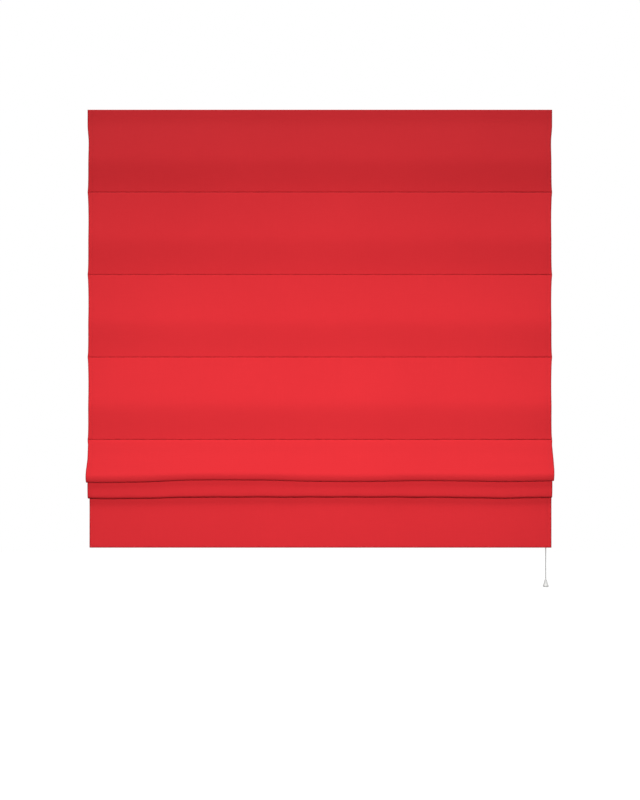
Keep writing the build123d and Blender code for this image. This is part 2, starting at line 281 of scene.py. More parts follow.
def flow(at, knots, values):
    """A smooth line through the knots: a cubic between each two, whose slope at a knot is that of
    the line through its neighbours."""
    knots, values = np.asarray(knots, float), np.asarray(values, float)
    slope = np.gradient(values, knots)
    i = np.clip(np.searchsorted(knots, at) - 1, 0, len(knots) - 2)
    h = knots[i + 1] - knots[i]
    t = (at - knots[i]) / h
    near = (1 + 2 * t) * (1 - t) ** 2 * values[i] + t * (1 - t) ** 2 * h * slope[i]
    return near + t * t * (3 - 2 * t) * values[i + 1] + t * t * (t - 1) * h * slope[i + 1]


def ease(t):
    """0 before 0, 1 after 1, and a smooth S between."""
    t = np.clip(t, 0, 1)
    return t * t * (3 - 2 * t)


def ripples(x, seed, shortest, longest, count):
    """A sum of sines across the width with seeded wavelengths and phases, from about -1 to 1."""
    draw = np.random.RandomState(seed)
    waves = np.exp(draw.uniform(math.log(shortest), math.log(longest), count))
    phases = draw.uniform(0, 2 * math.pi, count)
    total = sum(np.sin(2 * math.pi * x / w + p) for w, p in zip(waves, phases))
    return total / math.sqrt(count) / 1.4


def across():
    """Columns of the cloth from edge to edge as shares of the half width, then the turned side
    hems: their distance along the turn, in metres, is in the second array."""
    inner = np.linspace(-1, 1, 321)
    close_to_edge = np.array([0.9955, 0.997, 0.9985, 0.9995])
    share = np.sort(np.concatenate([inner, close_to_edge, -close_to_edge]))
    turn = np.array([0.25, 0.5, 0.75, 1.0]) * math.pi * hem_turn
    past = np.concatenate([turn, turn[-1] + np.array([2, 6, 11.6]) * mm])
    left, right = -np.ones(len(past)), np.ones(len(past))
    share = np.concatenate([left, share, right])
    past = np.concatenate([past[::-1], np.zeros(len(share) - 2 * len(past)), past])
    return share, past


share, past_edge = across()


def pucker_reach(d):
    """How strongly a seam puckers the cloth at distance d from it: none at the stitches, most a few
    millimetres away, and gone after some centimetres."""
    return (1 - np.exp(-d / (2.2 * mm))) * np.exp(-d / (13 * mm))


def thicken(made, thickness):
    """Gives a surface a wall, half of it on each side."""
    wall = made.modifiers.new("wall", "SOLIDIFY")
    wall.thickness, wall.offset = thickness, 0


def cloth_piece(name, path, left, right, seams, puff, droop, start_length, slack, crease=0.0):
    """A stretch of the cloth. Its middle line (y, z) runs down in rows and the columns run across,
    as far as left and right say. Away from the seams it ends in, the cloth puffs forward by puff
    times its full depth. Puckers at the seams, edges that curl back and the turned side hem are
    added along the cloth's own back direction, flatter where slack is small. Painted shade deepens
    the tone at the stitches, more towards the right, and at the side edges. Droop, where there is
    one, raises each row by a share of a function of x, and the last argument is how much painted
    shade deepens the last row's tone, under a fold's lower edge."""
    path = np.asarray(path, float)
    step = np.gradient(path, axis=0)
    step /= np.linalg.norm(step, axis=1)[:, None]
    back = np.stack([-step[:, 1], step[:, 0]], axis=1)
    run = length_along(path)
    left, right = (np.broadcast_to(half, len(path))[:, None] for half in (left, right))
    reach = np.where(share < 0, left, right)
    flat_x = share[None, :] * reach
    angle = np.minimum(past_edge / hem_turn, math.pi)
    inward = np.maximum(past_edge - math.pi * hem_turn, 0)
    x = flat_x + np.sign(share) * (hem_turn * np.sin(angle) - inward)[None, :]
    offset, painted_shade = np.zeros_like(x), np.zeros_like(x)
    nearest = np.full(len(path), 1.0)
    for seam, z in seams:
        d = np.abs(run - run[np.argmin(np.abs(path[:, 1] - z))])
        nearest = np.minimum(nearest, d)
        offset -= pucker_depth * pucker_reach(d)[:, None] * ripples(x, 40 + seam, 13 * mm, 60 * mm, 7)
        # Painted shade along each seam: a dark line, uneven across the width and stronger towards the right.
        uneven = 0.7 + 0.2 * ripples(x, 60 + seam, 9 * mm, 90 * mm, 5) + 0.35 * ease((x - 0.42) / 0.16)
        painted_shade = np.maximum(painted_shade, np.exp(-((d / (1.3 * mm)) ** 2))[:, None] * uneven)
    offset -= (puff_depth * puff * (1 - np.exp(-nearest / (1.1 * mm))))[:, None]
    loose = (slack * ease(nearest / held_flat))[:, None]
    near_edge = np.clip((np.abs(flat_x) - (reach - curl_width)) / curl_width, 0, 1)
    offset += edge_curl * (0.2 + 0.8 * loose) * near_edge**2
    offset += hem_turn * (1 - np.cos(angle))[None, :] * (0.5 + 0.5 * loose)
    y = path[:, :1] + back[:, :1] * offset
    z = path[:, 1:] + back[:, 1:] * offset
    if droop is not None:
        z = z + droop[0][:, None] * droop[1](x)
    # Painted shade: a dark line along both side edges, and a dark band on the last rows under a fold's lower
    # edge.
    gap = np.clip(reach - np.abs(flat_x), 0, None)
    painted_shade = np.maximum(painted_shade, 0.75 * np.exp(-((gap / (1.6 * mm)) ** 2)))
    painted_shade = np.maximum(painted_shade, crease * np.exp(-(((run[-1] - run) / (4.5 * mm)) ** 2))[:, None])
    down = np.broadcast_to((start_length + run)[:, None], x.shape)
    made = surface(name, x, y, z, cloth_red, (flat_x + np.sign(share) * past_edge, down))
    shade_attribute = made.data.attributes.new("painted_shade", "FLOAT", "POINT")
    shade_attribute.data.foreach_set("value", painted_shade.ravel().astype(np.float32))
    thicken(made, cloth_thick)
    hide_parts("fabric")
    front = np.stack([np.zeros(len(path)), -back[:, 0], -back[:, 1]], axis=1)
    for side, sign in (("left", -1), ("right", 1)):
        from_stitches = np.abs(np.abs(flat_x[0]) - (half_width - side_hem + stitch_inset))
        c = np.argmin(from_stitches + (share * sign < 0))
        line = np.stack([x[:, c], y[:, c], z[:, c]], axis=1)
        side_lines[f"{name}_{side}"] = (made, line + front * cloth_thick / 2, front)
    return made


close_rows = np.array([0, 0.35, 0.8, 1.4, 2.2, 3.4, 5, 7, 10, 14, 19, 26]) * mm
row_spacing = 9.5 * mm


def rows_between(top, bottom):
    """Heights from top to bottom, close together at both ends and evenly spread between."""
    span = top - bottom
    reach = close_rows[-1]
    count = int((span - 2 * reach) / row_spacing)
    middle = np.linspace(reach, span - reach, count + 1)[1:-1]
    return top - np.concatenate([close_rows, middle, span - close_rows[::-1]])


def panel_profile(z, top, fold, bottom, belly, straight):
    """How far an open panel stands forward: it hangs straight for a while, leans out evenly down to
    the fold line and comes back in a soft S to the lower seam. The turn between is rounded over
    5 cm, by a running average that fades out near the seams."""
    fine = np.arange(top, bottom - 1 * mm, -1 * mm)
    lean = np.clip((top - straight - fine) / (top - straight - fold), 0, 1)
    t = np.clip((fold - fine) / (fold - bottom), 0, 1)
    curve = np.where(fine > fold, lean, 1 - (0.5 * t + 0.5 * t * t * (3 - 2 * t)))
    half_window = 26
    window = np.hanning(2 * half_window + 1)
    smooth = np.convolve(curve, window / window.sum(), "same")
    trust = ease((np.minimum(top - fine, fine - bottom) - half_window * mm) / (20 * mm))
    curve = curve * (1 - trust) + smooth * trust
    return -belly * np.interp(-z, -fine, curve)


waist = 4.5 * mm  # how far a panel's edges draw in between its seams
bellies = (7 * mm, 7.6 * mm, 8 * mm, 8.5 * mm)
fold_above_seam = (88.5 * mm, 97.5 * mm, 97.5 * mm, 97.5 * mm)
flat_on_rail = 35 * mm  # the top panel lies flat on the rail this far down
bodies = ["headrail_set"] + [f"rod_{k}_set" for k in range(1, 7)]
for k in range(1, 5):
    top, bottom = seam_z[k - 1], seam_z[k]
    fold = bottom + fold_above_seam[k - 1]
    z = rows_between(top, bottom)
    t = (top - z) / (top - bottom)
    y = cloth_y + panel_profile(z, top, fold, bottom, bellies[k - 1], flat_on_rail if k == 1 else 0)
    half = half_width - waist * np.sin(math.pi * np.clip(t, 0, 1)) ** 0.7
    path, puff, slack, seams = np.stack([y, z], axis=1), 1.0, 1.0, [(k - 1, top), (k, bottom)]
    if k == 1:
        freed = ease((top - z - flat_on_rail) / (60 * mm))
        half = half_width - (half_width - half) * freed
        top_turn = np.array([[1.0, -7.0], [1.0, -3.0], [0.85, -0.7], [0.45, -0.1]]) * mm
        path = np.concatenate([top_turn + (cloth_y, cloth_top), path])
        half = np.concatenate([np.full(len(top_turn), half_width), half])
        puff = np.concatenate([np.zeros(len(top_turn)), freed])
        slack = 1.25 * puff - 0.25
        seams = seams[1:]
    piece = cloth_piece(f"cloth_panel_{k}", path, half, half, seams, puff, None, k * panel_drop, slack)
    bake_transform(piece, bodies[k - 1], bodies[k], (0, cloth_y, fold), (0, cloth_y, bottom))


# The drawn-up part: each fold is a front layer on the rod above and a back layer that goes up again
# to the rod below. The folds' lower edges are soft and hang a little lower at the left.
def along(points):
    """A smooth line through (forward, depth) points in millimetres, as rows 1 mm apart: forward is
    measured from the rods' cloth line to the room, depth down from the fourth seam."""
    points = np.asarray(points, float)
    chord = length_along(points)
    at = np.linspace(0, chord[-1], int(chord[-1]) + 1)
    forward, depth = flow(at, chord, points[:, 0]), flow(at, chord, points[:, 1])
    return np.stack([cloth_y - forward * mm, seam_z[4] - depth * mm], axis=1)


def upper_edge(x):
    """Lower edge of the upper fold: lowest at the left, high at the left third, faintly wavy."""
    knots = (-0.66, -0.56, -0.34, -0.18, 0.02, 0.34, 0.56, 0.66)
    rise = (-3.0, -3.5, 3.4, 3.4, -0.8, 1.6, -0.8, 1.4)
    return mm * flow(x, knots, rise) + 0.4 * mm * ripples(x, 3, 90 * mm, 400 * mm, 5)


def lower_edge(x):
    """Lower edge of the lower fold: lowest at the left, a little low near the right end, faintly
    wavy."""
    knots = (-0.66, -0.58, -0.33, -0.15, 0.3, 0.58, 0.66)
    rise = (-2.5, -3.7, 0.3, 0.5, 0.1, -1.8, 0.6)
    return mm * flow(x, knots, rise) + 0.5 * mm * ripples(x, 5, 90 * mm, 400 * mm, 5)


def hang_gain(path, seam_depth, edge_depth):
    """How much of the lower edge's droop a row takes: none at the seam, all at the fold."""
    depth = (seam_z[4] - path[:, 1]) / mm
    return ease((depth - seam_depth) / (edge_depth - seam_depth)) ** 1.5


folds_from = 1.0  # metres down the cloth, where the weave of each layer starts
fold_bottom = (7.2, 116.9)
upper_front = [
    (0, 0), (4.0, 30), (8.0, 60), (11.3, 86), (12.4, 93), (12.9, 99), (12.4, 106), (11.0, 112),
    (9.2, 115.8), fold_bottom,
]
upper_back = [
    fold_bottom, (5.5, 115.9), (5.2, 113.5), (5.6, 105), (6.7, 92), (6.6, 77.5), (4.6, 55), (2.6, 36),
    (2.0, 30.9),
]
lower_bottom = (1.6, 161.9)
lower_front = [
    (1.1, 29.6), (0.1, 31), (0, 36), (0.6, 42), (2.8, 52), (3.6, 62), (3.8, 90), (4.7, 120),
    (4.6, 143), (4.0, 153), (3.0, 159), lower_bottom,
]
lower_back = [
    lower_bottom, (0.7, 161.1), (0.4, 158), (0.9, 140), (1.3, 110), (1.6, 90), (1.9, 72), (2.0, 66.9),
]
bottom_fall = [
    (1.1, 65.6), (0.1, 67), (0, 72), (-0.1, 82), (-1.0, 112), (-2.4, 145), (-3, 175), (-3, 235),
    (-3, 270), (-3, 297), (-3.1, 300.6), (-3.7, 302.4), (-5.8, 302.8), (-8.1, 302.4), (-8.6, 300.6),
    (-8.6, 280), (-7.8, 274.5), (-4.8, 269.4),
]
# Half widths in millimetres at depths below the fourth seam: the upper fold flares out at its foot.
flare_left = [(0, 650), (15, 648.2), (55, 648.2), (85, 651.2), (104, 651.6)]
flare_right = [(0, 650), (15, 649.2), (57, 651.6), (85, 652.6), (104, 652)]
# The folds' front layers carry painted shade under their lower edges, 0.95 of the full dark shade colour.
layers = [
    dict(name="upper_fold_front", outline=upper_front, left=flare_left, right=flare_right, seam=4,
         droops=(0, 117, upper_edge), bodies=(4,), slack=0.3, crease=0.95),
    dict(name="upper_fold_back", outline=upper_back, left=flare_left, right=flare_right,
         droops=(30, 117, upper_edge), bodies=(4, 5), narrower=0.8),
    dict(name="lower_fold_front", outline=lower_front, left=[(0, 649)], right=[(0, 649.3)], seam=5,
         droops=(60, 162, lower_edge), bodies=(5,), slack=0.3, crease=0.95),
    dict(name="lower_fold_back", outline=lower_back, left=[(0, 648.2)], right=[(0, 648.6)],
         droops=(67, 162, lower_edge), bodies=(5, 6)),
    dict(name="bottom_panel", outline=bottom_fall, left=[(0, 645.8)], right=[(0, 649.3)], seam=6,
         bodies=(6,)),
]
for layer in layers:
    rows = along(layer["outline"])
    # Rows stay 1 mm apart where the line bends and near a seam, and are 5 mm apart elsewhere.
    bend = np.abs(np.gradient(np.gradient(rows[:, 0])))
    keep = (bend >= 0.02 * mm) | (np.arange(len(rows)) % 5 == 0)
    keep[[0, -1]] = True
    seams = [(layer["seam"], seam_z[layer["seam"]])] if "seam" in layer else []
    for _, z in seams:
        keep |= np.abs(rows[:, 1] - z) < 9 * mm
    rows = rows[keep]
    depth = (seam_z[4] - rows[:, 1]) / mm
    left, right = (np.interp(depth, *zip(*layer[side])) for side in ("left", "right"))
    left, right = (mm * (half - layer.get("narrower", 0.0)) for half in (left, right))
    puff, slack, droop = 0.0, layer.get("slack", 0.0), None
    if "droops" in layer:
        none_at, all_at, edge = layer["droops"]
        droop = (hang_gain(rows, none_at, all_at), edge)
    if layer["name"] == "upper_fold_front":
        puff = 1 - ease((depth - 4) / 40)
    if layer["name"] == "bottom_panel":
        slack = 0.6 - 0.85 * ease((rows[:, 0] - cloth_y - 3.2 * mm) / (1.5 * mm))
    crease = layer.get("crease", 0.0)
    piece = cloth_piece(layer["name"], rows, left, right, seams, puff, droop, folds_from, slack, crease)
    ridden = [f"rod_{k}_set" for k in layer["bodies"]]
    if len(ridden) == 1:
        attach(piece, *ridden)
    else:
        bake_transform(piece, *ridden, (0, cloth_y, rows[0, 1]), (0, cloth_y, rows[-1, 1]))


# Sewing thread: lockstitches along every seam and along the side hems, each stitch a short bar of
# twisted polyester whose ends dive into the cloth.
thread_red, tree, shader = new_finish("thread red", (0.52, 0.012, 0.018), 0.6)
place = add(tree, "ShaderNodeTexCoord").outputs["Object"]
twist = add(tree, "ShaderNodeTexWave", {"Vector": place, "Scale": 900.0, "Distortion": 1.0})
relief(tree, shader, twist.outputs["Fac"], 0.00005)
tint(tree, shader, twist.outputs["Fac"], (0.42, 0.008, 0.012), (0.58, 0.015, 0.022))


def points_at(at, run, line):
    """Points on a line at given distances along it."""
    return np.stack([np.interp(at, run, line[:, i]) for i in range(3)], axis=1)


def stitches(name, line, out):
    """Evenly spaced stitches along a line of points. Each is a five-sided bar of five rings, bowed
    away from the cloth by its own thickness and thinner towards its ends."""
    pitch, radius = 3.0 * mm, 0.17 * mm
    run = length_along(line)
    at = np.arange(pitch / 2, run[-1] - pitch / 4, pitch)
    place, normal = points_at(at, run, line), points_at(at, run, out)
    ahead = points_at(at + 0.3 * pitch, run, line) - points_at(at - 0.3 * pitch, run, line)
    tangent = ahead / np.linalg.norm(ahead, axis=1)[:, None]
    side = np.cross(tangent, normal)
    t = np.linspace(-1, 1, 5)[None, :, None, None]
    turn = np.linspace(0, 2 * math.pi, 6)[:-1][None, None, :, None]
    thick = radius * np.sqrt(1 - 0.75 * t**2)
    tangent, normal, side, place = (v[:, None, None, :] for v in (tangent, normal, side, place))
    points = place + tangent * t * 0.38 * pitch + normal * radius * (1.2 - 1.6 * t**4)
    points = points + thick * (normal * np.cos(turn) + side * np.sin(turn))
    count = len(at)
    ring = np.arange(25).reshape(5, 5)
    closed = np.concatenate([ring, ring[:, :1]], axis=1)
    corners = [closed[:-1, :-1], closed[:-1, 1:], closed[1:, 1:], closed[1:, :-1]]
    bars = np.stack(corners, axis=-1).reshape(-1, 4)
    first_point = np.arange(count)[:, None, None] * ring.size
    faces = (first_point + bars[None]).reshape(-1, 4).tolist()
    ends = first_point + np.stack([ring[0][::-1], ring[4]])[None]
    mesh = bpy.data.meshes.new(name)
    mesh.from_pydata(points.reshape(-1, 3), [], faces + ends.reshape(-1, 5).tolist())
    mesh.polygons.foreach_set("use_smooth", np.ones(len(mesh.polygons), bool))
    mesh.materials.append(thread_red)
    made = bpy.data.objects.new(name, mesh)
    bpy.context.scene.collection.objects.link(made)
    return made


thread_ends = half_width - 4 * mm
for k in range(1, 7):
    x = np.linspace(-thread_ends, thread_ends, 60)
    line = np.stack([x, 0 * x + cloth_y - cloth_thick / 2, 0 * x + seam_z[k]], axis=1)
    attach(stitches(f"seam_thread_{k}", line, np.tile((0.0, -1.0, 0.0), (60, 1))), f"rod_{k}_set")
for name, (cloth, line, out) in side_lines.items():
    made = stitches(f"{name}_thread", line, out)
    if "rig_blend" not in cloth:
        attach(made, cloth["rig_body"])
        continue
    moves_from, moves_to = line[0, 2], line[-1, 2]
    if name.startswith("cloth_panel"):
        k = int(name.split("_")[2])
        moves_from, moves_to = seam_z[k] + fold_above_seam[k - 1], seam_z[k]
    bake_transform(made, *cloth["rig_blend"], (0, cloth_y, moves_from), (0, cloth_y, moves_to))


# Rod pockets: woven tape folded round each rod and sewn flat behind the seam, with a fibreglass rod,
# two caps on its ends and three moulded cord rings sewn on.
def dull_plastic(name, colour, dark, roughness, **sockets):
    """Moulded plastic: faint tone patches and a fine eggshell grain."""
    made, tree, shader = new_finish(name, colour, roughness, **sockets)
    place = add(tree, "ShaderNodeTexCoord").outputs["Object"]
    patch = use(tree, mottle, Vector=place, Size=0.05)["Patch"]
    tint(tree, shader, patch, dark, colour)
    fine = add(tree, "ShaderNodeTexNoise", {"Vector": place, "Scale": 1400.0, "Detail": 2.0})
    relief(tree, shader, fine.outputs[0], 0.00004)
    rough = add(tree, "ShaderNodeMapRange", {0: patch, 3: roughness - 0.05, 4: roughness + 0.08})
    tree.links.new(rough.outputs[0], shader.inputs["Roughness"])
    return made


def woven_tape(name, colour, dark, pitch):
    """Narrow woven tape: a coarser plain weave on the piece's own lengths."""
    made, tree, shader = new_finish(name, colour, 0.85)
    lengths = add(tree, "ShaderNodeUVMap", uv_map="lengths").outputs[0]
    threads = use(tree, weave, Vector=lengths, Pitch=pitch)
    tint(tree, shader, threads["Slub"], dark, colour)
    relief(tree, shader, threads["Height"], 0.00015)
    return made


pocket_red = woven_tape("pocket tape red", (0.62, 0.025, 0.035), (0.48, 0.015, 0.022), 0.0009)
cap_red = dull_plastic("cap red", (0.40, 0.016, 0.022), (0.32, 0.012, 0.016), 0.5)
clear_plastic = dull_plastic("milky plastic", (0.80, 0.82, 0.82), (0.72, 0.75, 0.75), 0.25,
                             Transmission_Weight=0.35)
fibreglass, tree, shader = new_finish("fibreglass", (0.80, 0.78, 0.70), 0.45)
place = add(tree, "ShaderNodeTexCoord").outputs["Object"]
streak = streaks(tree, place, (6.0, 900.0, 900.0), 3.0)
tint(tree, shader, streak, (0.66, 0.64, 0.55), (0.86, 0.84, 0.78))
relief(tree, shader, streak, 0.00004)


def dress(node, finish):
    """Gives a CAD node its finish."""
    frame["nodes"][node].data.materials.clear()
    frame["nodes"][node].data.materials.append(finish)


def middle(node):
    """Centre of a CAD node's box."""
    low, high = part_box(node)
    return (low + high) / 2


pocket_thick = 0.5 * mm
pocket_radius = 3.0 * mm  # to the middle of the tape
for k in range(1, 7):
    low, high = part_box(f"rod_pocket_{k}")
    rod_y, rod_z = middle(f"rod_{k}").yz
    front = rod_y - pocket_radius
    angle = np.linspace(math.pi, -math.pi * 0.86, 26)
    flange = np.linspace(low.z, rod_z - 0.4 * mm, 7)
    flat_y = np.concatenate([0 * flange + front, rod_y + pocket_radius * np.cos(angle)])[:, None]
    flat_z = np.concatenate([flange, rod_z + pocket_radius * np.sin(angle)])[:, None]
    x = np.linspace(low.x, high.x, 260) + 0 * flat_y
    slack = ease((np.arange(len(flat_y)) - 8) / 6)[:, None] * 0.09 * mm
    wobble = slack * ripples(x, 80 + k, 25 * mm, 160 * mm, 5)
    around = length_along(np.hstack([flat_y, flat_z]))[:, None] + 0 * x
    y = flat_y + wobble * np.clip((flat_y - front) / pocket_radius, 0, 1)
    tape = surface(f"pocket_tape_{k}", x, y, flat_z + wobble, pocket_red, (x, around))
    thicken(tape, pocket_thick)
    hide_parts(f"rod_pocket_{k}")
    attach(tape, f"rod_{k}_set")
    dress(f"rod_{k}", fibreglass)
    dress(f"rod_caps_{k}", cap_red)
    dress(f"cord_rings_{k}", clear_plastic)
dress("cord_orbs", clear_plastic)


# Weight bar: a flat strip of mill-finish aluminium, loose in the bottom hem.
def streaked_metal(name, colour, dark, roughness, grain):
    """Rolled, brushed or drawn metal: fine streaks along one axis, in tone, gloss and relief. Grain
    is how many streaks there are to a metre along X, Y and Z."""
    made, tree, shader = new_finish(name, colour, roughness, Metallic=1.0)
    place = add(tree, "ShaderNodeTexCoord").outputs["Object"]
    streak = streaks(tree, place, grain, 4.0)
    tone = seven_to_three(tree, streak, use(tree, mottle, Vector=place, Size=0.03)["Patch"])
    tint(tree, shader, tone, dark, colour)
    rough = add(tree, "ShaderNodeMapRange", {0: tone, 3: roughness - 0.08, 4: roughness + 0.12})
    tree.links.new(rough.outputs[0], shader.inputs["Roughness"])
    relief(tree, shader, streak, 0.00002)
    return made


aluminium = streaked_metal("mill aluminium", (0.72, 0.73, 0.74), (0.60, 0.61, 0.62), 0.38,
                           (5.0, 1100.0, 1100.0))
dress("bottom_bar", aluminium)


# Headrail: a white powder-coated aluminium channel with its end cap and three spring steel brackets,
# and the hook and loop tapes that hold the cloth to its front.
rail_white, tree, shader = new_finish("rail white", (0.84, 0.84, 0.83), 0.42)
place = add(tree, "ShaderNodeTexCoord").outputs["Object"]
peel = add(tree, "ShaderNodeTexNoise", {"Vector": place, "Scale": 650.0, "Detail": 2.0}).outputs[0]
patch = use(tree, mottle, Vector=place, Size=0.12)["Patch"]
tint(tree, shader, patch, (0.80, 0.80, 0.785), (0.86, 0.86, 0.85))
gloss = add(tree, "ShaderNodeMapRange", {0: patch, 3: 0.36, 4: 0.5})
tree.links.new(gloss.outputs[0], shader.inputs["Roughness"])
relief(tree, shader, peel, 0.00012)
white_plastic = dull_plastic("moulded white", (0.74, 0.74, 0.73), (0.69, 0.69, 0.675), 0.36)
zinc = streaked_metal("zinc plated steel", (0.60, 0.61, 0.62), (0.47, 0.48, 0.49), 0.46,
                      (60.0, 60.0, 900.0))
dress("headrail", rail_white)
dress("end_cap_left", white_plastic)
for side in ("left", "centre", "right"):
    dress(f"bracket_{side}", zinc)
pile_white = woven_tape("hook and loop white", (0.80, 0.80, 0.78), (0.70, 0.70, 0.68), 0.0012)
fray = 0.15 * mm  # unevenness of the tapes' cut edges


def squared(wave):
    """Flattens a sine or cosine towards 1 and -1, which makes a circle a rounded rectangle."""
    return np.sign(wave) * np.abs(wave) ** 0.25


for node, seed in (("hook_tape", 91), ("loop_tape", 92)):
    low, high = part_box(node)
    turn = np.linspace(0, 2 * math.pi, 41)[None, :-1]
    x = np.linspace(low.x, high.x, 220)[:, None] + 0 * turn
    y = (low.y + high.y) / 2 + (high.y - low.y) / 2 * squared(np.cos(turn)) + 0 * x
    edge = (high.z - low.z) / 2 - fray + fray * ripples(x, seed, 9 * mm, 120 * mm, 6)
    z = (low.z + high.z) / 2 + edge * squared(np.sin(turn))
    tape = surface(f"{node}_strip", x, y, z, pile_white, (x, z), wrap=True, caps=True)
    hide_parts(node)
    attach(tape, "headrail_set")


# Cord guides and cord lock: moulded cradles with acetal rollers on steel pins; the lock's pinch
# roller is knurled brass that jams the cords when they are let go.
acetal = dull_plastic("acetal", (0.80, 0.80, 0.78), (0.75, 0.75, 0.73), 0.42)
drawn_steel = streaked_metal("drawn steel", (0.62, 0.62, 0.63), (0.50, 0.50, 0.51), 0.28,
                             (1500.0, 8.0, 1500.0))
knurled, tree, shader = new_finish("knurled brass", (0.78, 0.60, 0.30), 0.35, Metallic=1.0)
place = add(tree, "ShaderNodeTexCoord").outputs["Object"]
ridges = []
for lean in (-0.7, 0.7):
    leaning = add(tree, "ShaderNodeMapping", {"Vector": place, "Rotation": (lean, 0.0, lean)}).outputs[0]
    ridges.append(add(tree, "ShaderNodeTexWave", {"Vector": leaning, "Scale": 420.0}).outputs["Fac"])
diamond = sums(tree, "MAXIMUM", *ridges)
relief(tree, shader, diamond, 0.00015)
tint(tree, shader, diamond, (0.50, 0.36, 0.16), (0.82, 0.64, 0.34))
for side in ("left", "centre", "right"):
    dress(f"cord_guide_{side}", white_plastic)
    dress(f"guide_roller_{side}", acetal)
    dress(f"guide_pin_{side}", drawn_steel)
dress("cord_lock_body", white_plastic)
dress("lock_guide_roller", acetal)
dress("lock_guide_pin", drawn_steel)
dress("lock_pinch_roller", knurled)


# Lift cords: three braided polyester cords. Each runs from its orb up through the rings, over its
# guide roller and along the rail to the lock, and down behind the cloth to the connector.
def braided(name, colour, dark, pitch):
    """Braid: the weave turned to 45 degrees round the cord, in relief, with painted shade: darker where the
    strands lie low.
    """
    made, tree, shader = new_finish(name, colour, 0.62)
    lengths = add(tree, "ShaderNodeUVMap", uv_map="lengths").outputs[0]
    slanted = add(tree, "ShaderNodeMapping", {"Vector": lengths, "Rotation": (0.0, 0.0, math.pi / 4)})
    threads = use(tree, weave, Vector=slanted.outputs[0], Pitch=pitch)
    # Painted shade: the tone follows the weave's height, dark in the hollows between strands.
    tint(tree, shader, threads["Height"], dark, colour)
    relief(tree, shader, threads["Height"], 0.00012)
    return made


def spline(points):
    """Points along the smooth NURBS line that has these control points, in metres."""
    curve = bpy.data.curves.new("line", "CURVE")
    curve.dimensions = "3D"
    curve.resolution_u = 12
    part = curve.splines.new("NURBS")
    part.points.add(len(points) - 1)
    for point, place in zip(part.points, points):
        point.co = (*place, 1)
    part.order_u = 3
    part.use_endpoint_u = True
    holder = bpy.data.objects.new("line", curve)
    mesh = bpy.data.meshes.new_from_object(holder)
    line = np.array([v.co for v in mesh.vertices], float)
    bpy.data.objects.remove(holder)
    bpy.data.curves.remove(curve)
    bpy.data.meshes.remove(mesh)
    return line


def rings_round(line, tangent, across, sides):
    """Angles round a line, and its unit circles: for each point of the line one row of directions,
    all square to it. The first one is also square to the given way across."""
    tangent = tangent / np.linalg.norm(tangent, axis=1)[:, None]
    first = np.cross(tangent, across)
    first /= np.linalg.norm(first, axis=1)[:, None]
    second = np.cross(tangent, first)
    turn = np.linspace(0, 2 * math.pi, sides + 1)[:-1]
    wave, lift = np.cos(turn)[None, :, None], np.sin(turn)[None, :, None]
    return turn, first[:, None] * wave + second[:, None] * lift


def join(pieces):
    """Makes pieces one mesh, under the first one's name."""
    first = pieces[0]
    with bpy.context.temp_override(active_object=first, selected_editable_objects=pieces, object=first):
        bpy.ops.object.join()
    return first


def tubes(name, lines, radius, finish, relief_shape=None, sides=10, drawn_apart=None):
    """Round cords along one or more lines, in one mesh. Each ring stands square to its line; its
    radius may follow a function of the distance along and the angle round."""
    built = []
    for line in lines:
        run = length_along(line)
        if drawn_apart:
            at = np.linspace(0, run[-1], int(run[-1] / drawn_apart) + 1)
            line, run = points_at(at, run, line), at
        turn, ring = rings_round(line, np.gradient(line, axis=0), (0.0, 1.0, 0.0), sides)
        r = radius * np.ones((len(line), sides))
        if relief_shape:
            r = radius * relief_shape(run[:, None], turn[None, :])
        x, y, z = np.moveaxis(line[:, None] + ring * r[..., None], -1, 0)
        lengths = (radius * turn + 0 * r, run[:, None] + 0 * r)
        built.append(surface(name, x, y, z, finish, lengths, wrap=True, caps=True))
    return join(built) if len(built) > 1 else built[0]


# The second colour is the painted shade in the braid's hollows.
cord_white = braided("braided white", (0.68, 0.68, 0.67), (0.40, 0.40, 0.39), 0.00055)
lift_nodes = ("lift_cord_left", "lift_cord_centre", "lift_cord_right")
lift_x = (-500 * mm, 0.0, 500 * mm)
lane_y = (-19.5 * mm, -17.0 * mm, -14.5 * mm)  # behind the cloth and in the rail
lock_y = (-13.7 * mm, -11.2 * mm, -8.7 * mm)  # down from the lock
cord_radius = 0.7 * mm
over_roller = 5.2 * mm  # height at which the cords lie on the rollers
pull_x = 639 * mm
rail_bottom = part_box("headrail")[0].z
connector_low, connector_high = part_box("cord_connector")
orb_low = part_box("cord_orbs")[0].z
levels = [rail_bottom] + seam_z[1:6] + [orb_low]


def upright(x, y, top, bottom, count):
    """Evenly spaced points down an upright line."""
    z = top + (bottom - top) * np.linspace(0, 1, count)
    return np.stack([0 * z + x, 0 * z + y, z], axis=1)


for k in range(1, 7):
    top, bottom = levels[k - 1], levels[k]
    lines = [upright(x, y, top, bottom, 12) for x, y in zip(lift_x, lane_y)]
    piece = tubes(f"lift_cords_{k}", lines, cord_radius, cord_white)
    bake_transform(piece, bodies[k - 1], bodies[k], (0, 0, top), (0, 0, max(bottom, seam_z[k])))
    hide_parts(*lift_nodes)
near_turn = 8.4 * mm  # how far before and after a roller the cord starts to turn
lines = []
for x, y, out in zip(lift_x, lane_y, lock_y):
    lines.append(spline([
        (x, y, rail_bottom), (x, y, over_roller - near_turn), (x, y, over_roller),
        (x + near_turn, y, over_roller), (540 * mm, y, over_roller), (600 * mm, out, over_roller),
        (pull_x - near_turn, out, over_roller), (pull_x, out, over_roller),
        (pull_x, out, over_roller - near_turn), (pull_x, out, rail_bottom),
    ]))
piece = tubes("lift_cords_in_rail", lines, cord_radius, cord_white)
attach(piece, "headrail_set")
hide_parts(*lift_nodes)
low = connector_high.z - 1 * mm
lines = [upright(pull_x, y, rail_bottom, low, 14) for y in lock_y]
piece = tubes("lift_cords_to_connector", lines, cord_radius, cord_white)
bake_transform(piece, "headrail_set", "pull_set", (0, 0, rail_bottom), (0, 0, low))
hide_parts(*lift_nodes)


